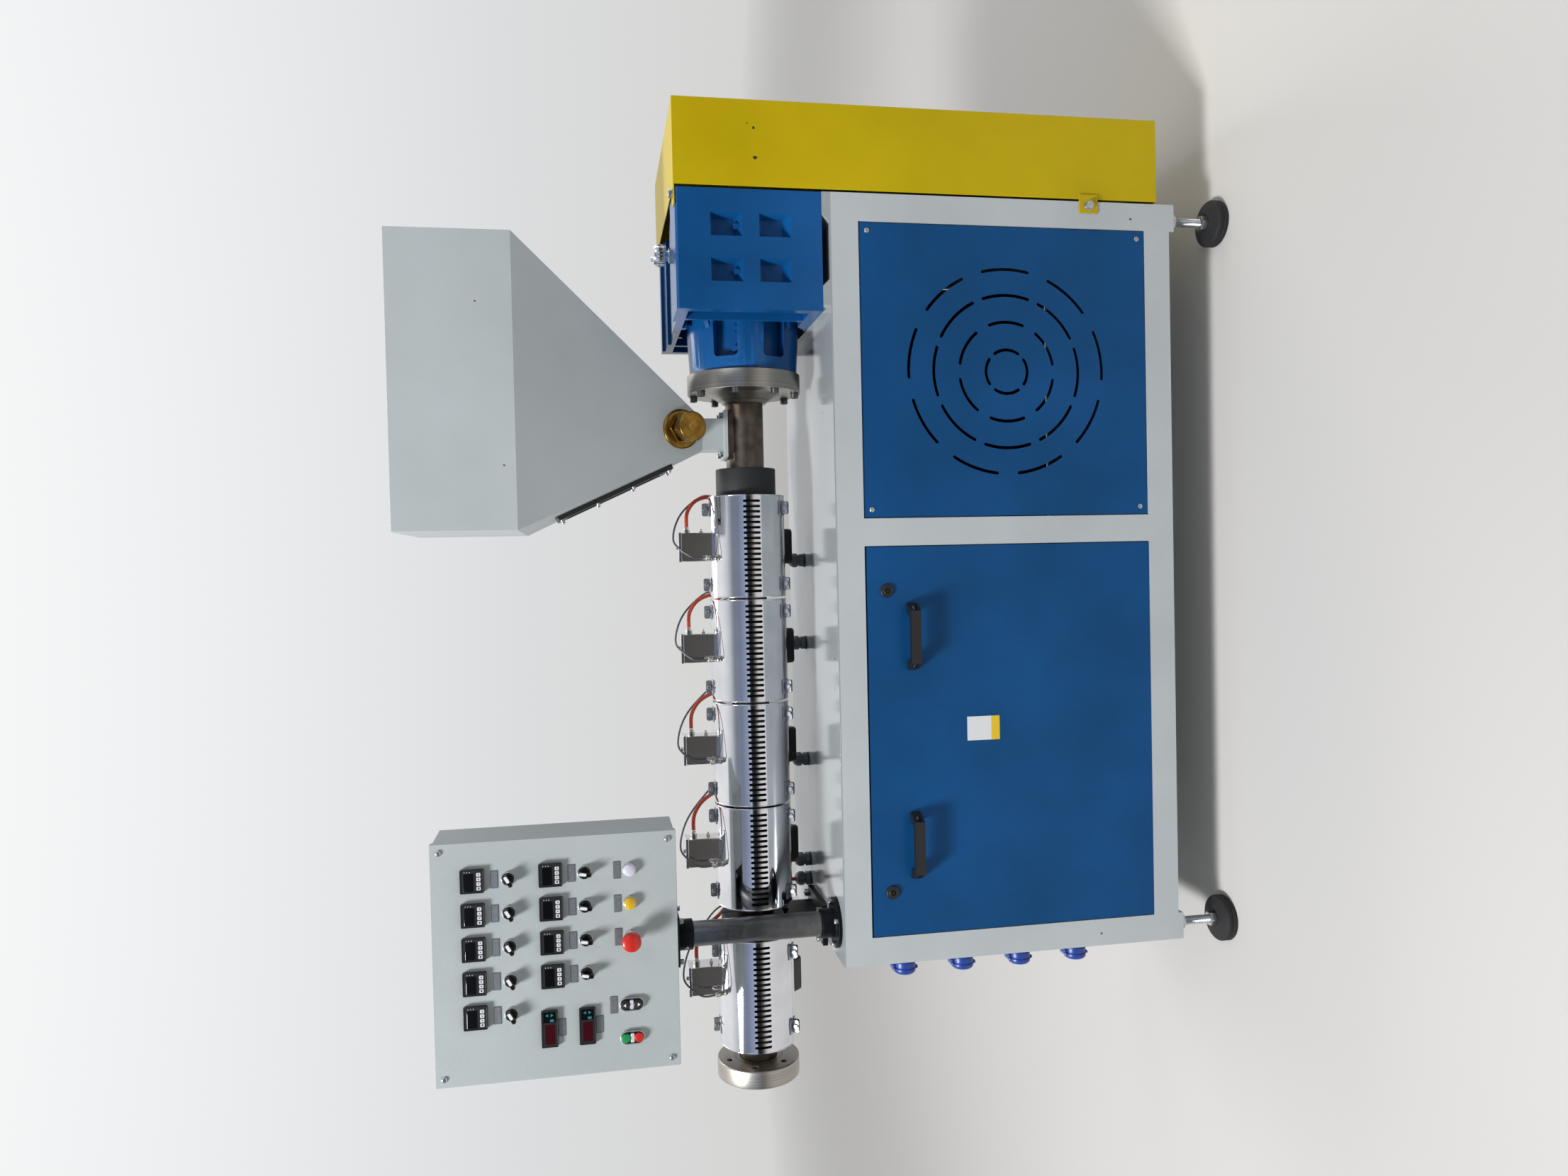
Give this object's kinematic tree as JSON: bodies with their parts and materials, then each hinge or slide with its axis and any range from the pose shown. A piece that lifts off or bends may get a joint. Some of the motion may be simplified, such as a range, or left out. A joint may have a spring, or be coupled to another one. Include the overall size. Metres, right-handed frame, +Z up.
{
  "type": "plastic extruder",
  "caption": "Single-screw plastic extruder on a steel cabinet frame with heated barrel, hopper, gearbox, belt guard and control box.",
  "frame": {"origin": "centre of the footprint, on the floor under the foot pads", "axes": "+X along the barrel from the die to the belt guard, +Y from the control side to the back, +Z up"},
  "size_m": [2.187, 0.6269, 1.85],
  "materials": {
    "white_paint": "semi-gloss light grey powder coat",
    "blue_paint": "gloss signal blue paint",
    "yellow_paint": "gloss safety yellow paint",
    "mirror_steel": "mirror-polished stainless sheet",
    "turned_steel": "turned bare steel",
    "zinc": "bright zinc plate",
    "black_steel": "black oxide steel",
    "black_plastic": "black glass-filled plastic",
    "grey_plastic": "grey nylon",
    "blue_plastic": "blue moulded plastic",
    "red_plastic": "red moulded plastic",
    "sleeve": "orange-red silicone sleeve",
    "black_rubber": "black moulded rubber",
    "brass": "worn brass",
    "label": "grey engraved plate",
    "lamp_lens": "moulded lens"
  },
  "bodies": {
    "machine": {"frame_posts": "white_paint", "frame_rails": "white_paint", "table_plate": "white_paint", "floor_sheet": "white_paint", "front_cover": "blue_paint", "cover_handles": "black_plastic", "cover_locks": "black_steel", "vented_panel": "blue_paint", "rear_panels": "blue_paint", "socket_panel": "blue_paint", "panel_screws": "zinc", "power_sockets": "blue_plastic", "foot_spindles": "zinc", "foot_pads": "black_rubber", "gearbox_housing": "blue_paint", "gearbox_bell": "blue_paint", "breather_cap": "zinc", "belt_guard": "yellow_paint", "guard_bolts": "zinc", "barrel": "turned_steel", "feed_screw": "turned_steel", "barrel_flange": "turned_steel", "die_flange": "turned_steel", "thermal_collar": "black_steel", "heater_band_1": "mirror_steel", "heater_band_2": "mirror_steel", "heater_band_3": "mirror_steel", "heater_band_4": "mirror_steel", "heater_band_5": "mirror_steel", "terminal_boxes": "mirror_steel", "band_clamps": "mirror_steel", "heater_leads": "sleeve", "thermocouples": "mirror_steel", "cooling_fans": "black_plastic", "barrel_support": "black_steel", "cable_glands": "grey_plastic", "hopper_shell": "white_paint", "hopper_window": "black_steel", "hopper_neck": "white_paint", "drain_plug": "brass", "mast_tube": "turned_steel", "mast_fittings": "black_steel", "control_box": "white_paint", "temperature_controllers": "black_plastic", "process_displays": "black_plastic", "switch_bezels": "zinc", "push_buttons": "zinc", "indicator_lamps": "lamp_lens", "label_plates": "label"},
    "selector_1": {"selector_1": "black_plastic"},
    "selector_2": {"selector_2": "black_plastic"},
    "selector_3": {"selector_3": "black_plastic"},
    "selector_4": {"selector_4": "black_plastic"},
    "selector_5": {"selector_5": "black_plastic"},
    "selector_6": {"selector_6": "black_plastic"},
    "selector_7": {"selector_7": "black_plastic"},
    "selector_8": {"selector_8": "black_plastic"},
    "selector_9": {"selector_9": "black_plastic"},
    "stop_button": {"stop_button": "red_plastic"}
  },
  "joints": [
    {"name": "selector_1_turn", "type": "hinge", "parent": "machine", "child": "selector_1", "pos_m": [-0.802, -0.2655, 1.63], "axis": [0, -1, 0], "range_deg": [0, 60]},
    {"name": "selector_2_turn", "type": "hinge", "parent": "machine", "child": "selector_2", "pos_m": [-0.7318, -0.2655, 1.63], "axis": [0, -1, 0], "range_deg": [0, 60]},
    {"name": "selector_3_turn", "type": "hinge", "parent": "machine", "child": "selector_3", "pos_m": [-0.6616, -0.2655, 1.63], "axis": [0, -1, 0], "range_deg": [0, 60]},
    {"name": "selector_4_turn", "type": "hinge", "parent": "machine", "child": "selector_4", "pos_m": [-0.5914, -0.2655, 1.63], "axis": [0, -1, 0], "range_deg": [0, 60]},
    {"name": "selector_5_turn", "type": "hinge", "parent": "machine", "child": "selector_5", "pos_m": [-0.5212, -0.2655, 1.63], "axis": [0, -1, 0], "range_deg": [0, 60]},
    {"name": "selector_6_turn", "type": "hinge", "parent": "machine", "child": "selector_6", "pos_m": [-0.7298, -0.2655, 1.476], "axis": [0, -1, 0], "range_deg": [-60, 0]},
    {"name": "selector_7_turn", "type": "hinge", "parent": "machine", "child": "selector_7", "pos_m": [-0.6596, -0.2655, 1.476], "axis": [0, -1, 0], "range_deg": [-60, 0]},
    {"name": "selector_8_turn", "type": "hinge", "parent": "machine", "child": "selector_8", "pos_m": [-0.5894, -0.2655, 1.476], "axis": [0, -1, 0], "range_deg": [-60, 0]},
    {"name": "selector_9_turn", "type": "hinge", "parent": "machine", "child": "selector_9", "pos_m": [-0.5192, -0.2655, 1.476], "axis": [0, -1, 0], "range_deg": [-60, 0]},
    {"name": "stop_button_press", "type": "slide", "parent": "machine", "child": "stop_button", "axis": [0, 1, 0], "range_m": [0, 0.005]}
  ]
}
